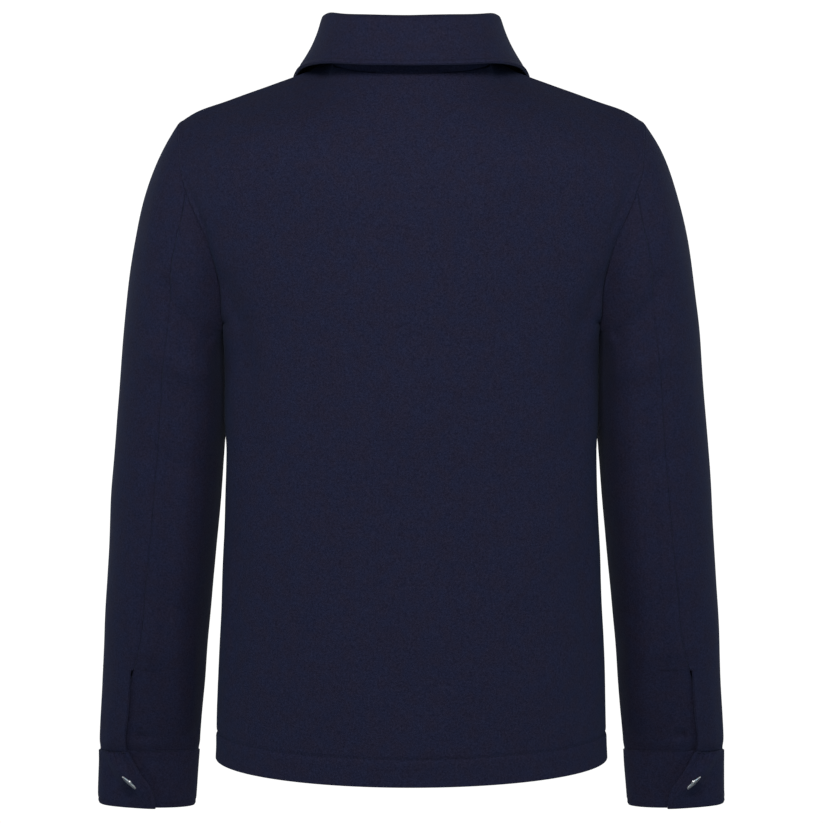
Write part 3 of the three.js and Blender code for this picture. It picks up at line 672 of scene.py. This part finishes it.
# How far in mm a foot goes in under the next piece and the cuff's lower edge goes in, and how far up
STAND_FOOT, SLEEVE_FOOT, FOOT_REACH = 2.2, 0.9, 9.0
CUFF_EDGE, CUFF_EDGE_REACH = 1.3, 5.0

# The hanging cloth's unevenness: height and size of its lumps in mm
UNEVEN_HEIGHT, UNEVEN_SIZE = 0.9, 55.0


def shape_body(cloth, node):
    """The bend at the underarm is spread, the back stands up by the armholes, and the hem is drawn in."""
    even_out_rows(cloth, *UNDERARM_BEND)
    if node == "back":
        ridge = soft(cloth.edge_distance(["start", "end"]) - ARMHOLE_RIDGE_FROM_EDGE, ARMHOLE_RIDGE_WIDTH)
        cloth.raise_by(ARMHOLE_RIDGE * ridge * step(cloth.z, *ARMHOLE_RIDGE_STARTS))
    above_stitch = cloth.z - HEM_STITCH
    groove = HEM_GROOVE * soft(above_stitch, HEM_GROOVE_WIDTH)
    cloth.raise_by(HEM_BAND * step(-above_stitch, 0.5, 4.0) - groove)


def shape_sleeve(cloth):
    """The sleeve lies flatter at the back, its seams are drawn in and its foot goes into the cuff."""
    even_out_rows(cloth, *FOREARM_BEND)
    square_the_sleeve(cloth)
    furrow = soft(cloth.edge_distance(["start", "end"]), SEAM_FURROW_WIDTH)
    cloth.raise_by(-SEAM_FURROW * furrow * step(cloth.z, *SEAM_FURROW_STARTS))
    cloth.raise_by(-SLEEVE_FOOT * cloth.beside_edge(["bottom"], FOOT_REACH))


def draw_in_the_edge(cloth, node):
    """A groove along the edge's stitches and a soft ridge between them and the edge."""
    inset, sides, _ = STITCHED[node]
    from_edge = cloth.edge_distance(sides)
    ridge = EDGE_RIDGE * soft(from_edge - inset * 0.5, inset * 0.25)
    cloth.raise_by(ridge - EDGE_GROOVE * soft(from_edge - inset, EDGE_GROOVE_WIDTH))


lines = fold_lines()
all_solids = surface_of(PANELS)
cloths = {}
for number, (node, panel) in enumerate(PANELS.items()):
    piece = merged_copy(node, f"{node}_cloth")
    four_sided(piece, panel.wall, panel.rows, panel.columns)
    smooth_through_net(piece, panel.rounds)
    close_rows_by_the_rims(piece, 2)
    if node in BODY:
        slice_level(piece, HEM_ROWS)
    cloth = Cloth(piece, panel.wall, panel.rows, panel.columns)
    if node in SLEEVES:
        cloth.sewn[cloth.row < ON_A_ROW] = 1.0
    cloth.round_the_rims(FOOT_CLOSING.get(node, SEAM_CLOSING))
    if node in BODY:
        shape_body(cloth, node)
    elif node in SLEEVES:
        shape_sleeve(cloth)
    elif node in CUFFS:
        cloth.raise_by(-lean_in(cloth, all_solids))
        cloth.raise_by(-CUFF_EDGE * cloth.beside_edge(["bottom"], CUFF_EDGE_REACH))
    elif node == "collar_stand":
        cloth.raise_by(-STAND_FOOT * cloth.beside_edge(["bottom"], FOOT_REACH))
    lay_folds(cloth, lines)
    meet_at_the_side(cloth, node)
    settle(cloth, UNEVEN_HEIGHT, UNEVEN_SIZE, number)
    if node in STITCHED:
        draw_in_the_edge(cloth, node)
    cloths[node] = cloth


def sewing_path(cloth, sides, inset):
    """Points in order at this distance in mm from the edges, with the cloth's outward direction at each."""
    mesh = cloth.piece.data
    final = cloth.co + cloth.shift
    put_places(mesh, final)
    surface = bvhtree.BVHTree.FromPolygons([Vector(p) for p in final], [p.vertices[:] for p in mesh.polygons])
    runs = []
    for numbers in cloth.side_middle(sides):
        run = []
        for k in numbers:
            rim = cloth.middle[k]
            start = final[rim] - cloth.rim_out[k] * inset * MM + cloth.out[rim] * cloth.wall * MM
            run.append(np.array(surface.find_nearest(Vector(start))[0]))
        nearest, _ = find_nearest(final, cloth.outer, run)
        runs.append(list(zip(run, cloth.out[nearest])))
    return runs


def level_path(cloth, z):
    """Points in order around the panel's outer side at this height in mm."""
    final = cloth.co + cloth.shift
    row = [v for v in cloth.outer if abs(cloth.co[v, 2] - z * MM) < 1e-6 and not cloth.on_rim[v]]
    row.sort(key=lambda v: cloth.column[v])
    return [(final[v], cloth.out[v]) for v in row]


def at_length(length, lengths, rows):
    """The row that belongs to this length, between the nearest two."""
    return np.array([np.interp(length, lengths, rows[:, axis]) for axis in range(3)])


# Stitches in mm: from one to the next, length and radius of the thread that shows, and how far it sinks in
STITCH_PITCH, STITCH_LENGTH, STITCH_RADIUS, STITCH_SINK = 3.2, 2.5, 0.24, 0.08


def spaced(run, trim):
    """A place for each stitch along a run, but for its ends, with the run's and the outward direction."""
    points = np.array([p for p, _ in run])
    outs = np.array([n for _, n in run])
    lengths = np.concatenate([[0], np.cumsum(np.linalg.norm(np.diff(points, axis=0), axis=1))]) / MM
    count = int((lengths[-1] - 2 * trim) / STITCH_PITCH)
    if count < 1:
        return []
    start = (lengths[-1] - (count - 1) * STITCH_PITCH) / 2
    placed = []
    for k in range(count):
        at = start + k * STITCH_PITCH
        here, ahead, behind = (at_length(s, lengths, points) for s in (at, at + 0.6, at - 0.6))
        out = at_length(at, lengths, outs)
        along = (ahead - behind) / np.linalg.norm(ahead - behind)
        out = out - along * (out @ along)
        placed.append((here, along, out / np.linalg.norm(out)))
    return placed


def lay_stitches(name, placed):
    """One bead of thread, copied to each place along the sewing."""
    let_go()
    bpy.ops.mesh.primitive_uv_sphere_add(segments=6, ring_count=5, radius=1.0)
    bead = bpy.context.object
    shape = places(bead.data)[:, [2, 0, 1]] * np.array([STITCH_LENGTH / 2, STITCH_RADIUS, STITCH_RADIUS]) * MM
    faces = [list(p.vertices) for p in bead.data.polygons]
    bpy.data.objects.remove(bead)
    corners, polygons = [], []
    for here, along, out in placed:
        side = np.cross(out, along)
        turned = shape @ np.array([along, side, out]) + here - out * STITCH_SINK * MM
        polygons += [[v + len(corners) * len(shape) for v in face] for face in faces]
        corners.append(turned)
    mesh = bpy.data.meshes.new(name)
    mesh.from_pydata(np.concatenate(corners).tolist(), [], polygons)
    piece = bpy.data.objects.new(name, mesh)
    bpy.context.scene.collection.objects.link(piece)
    take_up(piece)
    bpy.ops.object.shade_smooth()
    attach(piece, "root")
    return piece


hem = [place for node in BODY for place in spaced(level_path(cloths[node], HEM_STITCH), 1.5)]
threads = {"back": lay_stitches("hem_stitching", hem)}
for node, (inset, sides, name) in STITCHED.items():
    runs = sewing_path(cloths[node], sides, inset)
    threads[node] = lay_stitches(name, [place for run in runs for place in spaced(run, inset + 0.5)])

for cloth in cloths.values():
    cloth.finish()


def button_seat(node):
    """The middle of a button's back and the direction it faces."""
    co = np.unique(np.round(places(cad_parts[node].data), 7), axis=0)
    centre = co.mean(0)
    facing = np.linalg.svd(co - centre)[2][2]
    surface = surface_of([name for name in PANELS if name.startswith(("front", "cuff"))])
    place = surface.find_nearest(Vector(centre))[0]
    if facing @ (centre - np.array(place)) < 0:
        facing = -facing
    return centre + facing * ((co - centre) @ facing).min(), facing


SHANK_RADIUS = 2.2

# Radius and height in mm along the button's side, from its shank over the rolled rim to its dome's middle
BUTTON_OUTLINE = [
    (2.2, 0.9), (7.6, 1.0), (8.5, 1.2), (8.9, 1.6), (9.0, 2.0), (8.8, 2.45), (8.4, 2.7), (8.0, 2.75),
    (7.6, 2.62), (7.3, 2.45), (7.0, 2.5), (6.0, 2.8), (4.5, 3.1), (3.0, 3.28), (1.5, 3.38), (0.5, 3.4),
]


def turned_button(node):
    """A metal shank button: a low dome with a rolled rim over a narrow shank, turned from one circle."""
    seat, facing = button_seat(node)
    let_go()
    bpy.ops.mesh.primitive_circle_add(vertices=48, radius=SHANK_RADIUS * MM, fill_type="NGON")
    piece = bpy.context.object
    piece.name = piece.data.name = f"{node}_metal"
    bpy.ops.object.mode_set(mode="EDIT")
    bpy.ops.mesh.select_all(action="SELECT")
    radius, height = SHANK_RADIUS, 0.0
    for next_radius, next_height in BUTTON_OUTLINE:
        rise = (next_height - height) * MM
        bpy.ops.mesh.extrude_region_move(TRANSFORM_OT_translate={"value": (0, 0, rise)})
        scale = next_radius / radius
        bpy.ops.transform.resize(value=(scale, scale, 1))
        radius, height = next_radius, next_height
    bpy.ops.mesh.select_all(action="SELECT")
    bpy.ops.mesh.normals_make_consistent(inside=False)
    bpy.ops.object.mode_set(mode="OBJECT")
    turn = Vector(facing).to_track_quat("Z", "Y").to_matrix().to_4x4()
    piece.data.transform(Matrix.Translation(Vector(seat)) @ turn)
    take_up(piece)
    bpy.ops.object.shade_smooth_by_angle(angle=math.radians(40))
    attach(piece, "root")
    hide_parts(node)
    return piece


buttons = {node: turned_button(node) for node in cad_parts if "button" in node}


def node_in(tree, kind, **settings):
    """A new shader node with these settings."""
    made = tree.nodes.new(kind)
    for name, value in settings.items():
        setattr(made, name, value)
    return made


def grain(tree, size, detail, roughness=0.5):
    """Even noise with lumps of this size in mm, from the piece's own coordinates."""
    made = node_in(tree, "ShaderNodeTexNoise")
    made.inputs["Scale"].default_value = 1000.0 / size
    made.inputs["Detail"].default_value = detail
    made.inputs["Roughness"].default_value = roughness
    place = tree.nodes.get("Place") or node_in(tree, "ShaderNodeTexCoord", name="Place")
    tree.links.new(place.outputs["Object"], made.inputs["Vector"])
    return made.outputs["Fac"]


def between(tree, factor, low, high, start, end):
    """A colour that goes from low to high while the factor goes from start to end."""
    ramp = node_in(tree, "ShaderNodeValToRGB")
    ramp.color_ramp.elements[0].position, ramp.color_ramp.elements[1].position = start, end
    ramp.color_ramp.elements[0].color, ramp.color_ramp.elements[1].color = (*low, 1), (*high, 1)
    tree.links.new(factor, ramp.inputs["Fac"])
    return ramp.outputs["Color"]


def mixed(tree, a, b, blend):
    """Colour b laid wholly on colour a."""
    mix = node_in(tree, "ShaderNodeMix", data_type="RGBA", blend_type=blend)
    tree.links.new(a, mix.inputs["A"])
    tree.links.new(b, mix.inputs["B"])
    mix.inputs["Factor"].default_value = 1.0
    return mix.outputs["Result"]


def new_material(name):
    """A new material, its nodes and its shader."""
    material = bpy.data.materials.new(name)
    material.use_nodes = True
    return material, material.node_tree, material.node_tree.nodes["Principled BSDF"]


def napped_wool():
    """Navy wool with a brushed nap: a fine grain, faint warmer and bluer patches, a few pale fibres."""
    material, tree, shader = new_material("napped_navy_wool")
    nap = grain(tree, 1.5, 3.0, 0.65)
    patches = grain(tree, 13.0, 2.0)
    fibres = grain(tree, 0.9, 1.0)
    cloth = between(tree, nap, (0.0067, 0.0067, 0.0176), (0.0205, 0.0205, 0.0437), 0.25, 0.75)
    tint = between(tree, patches, (1.06, 0.98, 0.94), (0.94, 1.02, 1.08), 0.35, 0.65)
    cloth = mixed(tree, cloth, tint, "MULTIPLY")
    pale = between(tree, fibres, (0, 0, 0), (0.012, 0.013, 0.020), 0.69, 0.78)
    cloth = mixed(tree, cloth, pale, "ADD")
    tree.links.new(cloth, shader.inputs["Base Color"])
    shader.inputs["Roughness"].default_value = 0.95
    shader.inputs["Specular IOR Level"].default_value = 0.06
    shader.inputs["Sheen Weight"].default_value = 0.03
    shader.inputs["Sheen Roughness"].default_value = 0.45
    shader.inputs["Sheen Tint"].default_value = (0.55, 0.70, 1.0, 1.0)
    bump = node_in(tree, "ShaderNodeBump")
    bump.inputs["Strength"].default_value = 0.35
    bump.inputs["Distance"].default_value = 0.0004
    tree.links.new(nap, bump.inputs["Height"])
    tree.links.new(bump.outputs["Normal"], shader.inputs["Normal"])
    return material


def navy_thread():
    """Sewing thread of the cloth's colour, a little darker."""
    material, tree, shader = new_material("navy_sewing_thread")
    twist = grain(tree, 0.5, 1.0)
    tree.links.new(between(tree, twist, (0.0045, 0.005, 0.012), (0.011, 0.012, 0.026), 0.3, 0.7),
                   shader.inputs["Base Color"])
    shader.inputs["Roughness"].default_value = 0.85
    shader.inputs["Specular IOR Level"].default_value = 0.1
    return material


def satin_steel():
    """Silver-coloured metal, slightly worn."""
    material, tree, shader = new_material("satin_steel")
    wear = grain(tree, 2.0, 4.0, 0.6)
    tree.links.new(between(tree, wear, (0.52, 0.53, 0.54), (0.70, 0.71, 0.72), 0.35, 0.65),
                   shader.inputs["Base Color"])
    rough = node_in(tree, "ShaderNodeMapRange")
    rough.inputs["From Min"].default_value, rough.inputs["From Max"].default_value = 0.3, 0.7
    rough.inputs["To Min"].default_value, rough.inputs["To Max"].default_value = 0.24, 0.38
    tree.links.new(wear, rough.inputs["Value"])
    tree.links.new(rough.outputs["Result"], shader.inputs["Roughness"])
    shader.inputs["Metallic"].default_value = 1.0
    return material


wool, thread_finish, steel = napped_wool(), navy_thread(), satin_steel()
for piece in threads.values():
    piece.data.materials.append(thread_finish)
for piece in buttons.values():
    piece.data.materials.clear()
    piece.data.materials.append(steel)

for node, (_, _, _, _, flat, area, held, rests_on) in PANELS.items():
    piece = cloths[node].piece
    piece.data.materials.clear()
    piece.data.materials.append(wool)
    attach(piece, "root")
    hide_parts(node)


# Lights: name, place and aim in m, width and height in m, power in W and colour
LIGHTS = [
    ("key", (0.05, 1.85, 0.68), (0, 0.05, -0.15), 1.0, 0.35, 35.0, (1, 1, 1)),
    ("right_rim", (-2.2, 0.9, -0.2), (-0.25, 0, -0.5), 1.4, 1.4, 12.0, (0.42, 0.78, 1.0)),
    ("left_rim", (2.2, 0.9, -0.2), (0.25, 0, -0.5), 1.4, 1.4, 12.0, (0.42, 0.78, 1.0)),
]

SKY_DIMMEST, SKY_BRIGHTEST = 0.12, 1.06
FLOOR_RADIUS, FLOOR_HEIGHT = 2.4, -1.5

# The camera stands behind the jacket and looks down a little, as in the photo
CAMERA_PLACE = (0.0, 3.1606, 0.1702)
CAMERA_TURN = (81, 0, 180)
CAMERA_LENS = 145.81


def soft_light(name, place, aim, width, height, power, colour):
    """A lamp that shines from a flat rectangle."""
    light = bpy.data.lights.new(name, "AREA")
    light.shape = "RECTANGLE"
    light.size, light.size_y = width, height
    light.energy = power
    light.color = colour
    lamp = bpy.data.objects.new(name, light)
    lamp.location = place
    lamp.rotation_euler = (Vector(aim) - Vector(place)).to_track_quat("-Z", "Y").to_euler()
    bpy.context.scene.collection.objects.link(lamp)


def sky_light(world):
    """A pale room: bright low down and beyond the jacket, where the background shows, and dim elsewhere."""
    world.use_nodes = True
    tree = world.node_tree
    sky = tree.nodes["Background"]
    sky.inputs["Color"].default_value = (1, 1, 1, 1)
    place = node_in(tree, "ShaderNodeTexCoord")
    parts = node_in(tree, "ShaderNodeSeparateXYZ")
    tree.links.new(place.outputs["Generated"], parts.inputs["Vector"])
    bright = []
    for axis, start, end in (("Z", 0.05, 0.45), ("Y", 0.10, 0.60)):
        share = node_in(tree, "ShaderNodeMapRange", interpolation_type="SMOOTHSTEP")
        share.inputs["From Min"].default_value, share.inputs["From Max"].default_value = start, end
        share.inputs["To Min"].default_value, share.inputs["To Max"].default_value = 1.0, 0.0
        tree.links.new(parts.outputs[axis], share.inputs["Value"])
        bright.append(share.outputs["Result"])
    both = node_in(tree, "ShaderNodeMath", operation="MULTIPLY")
    for share, socket in zip(bright, both.inputs):
        tree.links.new(share, socket)
    strength = node_in(tree, "ShaderNodeMapRange")
    strength.inputs["To Min"].default_value = SKY_DIMMEST
    strength.inputs["To Max"].default_value = SKY_BRIGHTEST
    tree.links.new(both.outputs["Value"], strength.inputs["Value"])
    tree.links.new(strength.outputs["Result"], sky.inputs["Strength"])


def set_the_stage():
    """A pale floor, soft light and the camera at the photo's angle."""
    let_go()
    bpy.ops.mesh.primitive_circle_add(
        vertices=96, radius=FLOOR_RADIUS, fill_type="NGON", location=(0, 0, FLOOR_HEIGHT)
    )
    floor = bpy.context.object
    bpy.ops.object.transform_apply(location=True, rotation=True, scale=True)
    floor.name = "pale_floor"
    material, _, shader = new_material("pale_floor")
    shader.inputs["Base Color"].default_value = (0.60, 0.60, 0.60, 1)
    shader.inputs["Roughness"].default_value = 1.0
    shader.inputs["Specular IOR Level"].default_value = 0.0
    floor.data.materials.append(material)
    bpy.context.scene.world = bpy.data.worlds.new("studio")
    sky_light(bpy.context.scene.world)
    for light in LIGHTS:
        soft_light(*light)
    bpy.context.scene.view_settings.view_transform = "Standard"
    camera = bpy.data.cameras.new("camera")
    camera.sensor_width = 36.0
    camera.lens = CAMERA_LENS
    eye = bpy.data.objects.new("camera", camera)
    eye.location = CAMERA_PLACE
    eye.rotation_euler = [math.radians(angle) for angle in CAMERA_TURN]
    bpy.context.scene.collection.objects.link(eye)
    bpy.context.scene.camera = eye


set_the_stage()
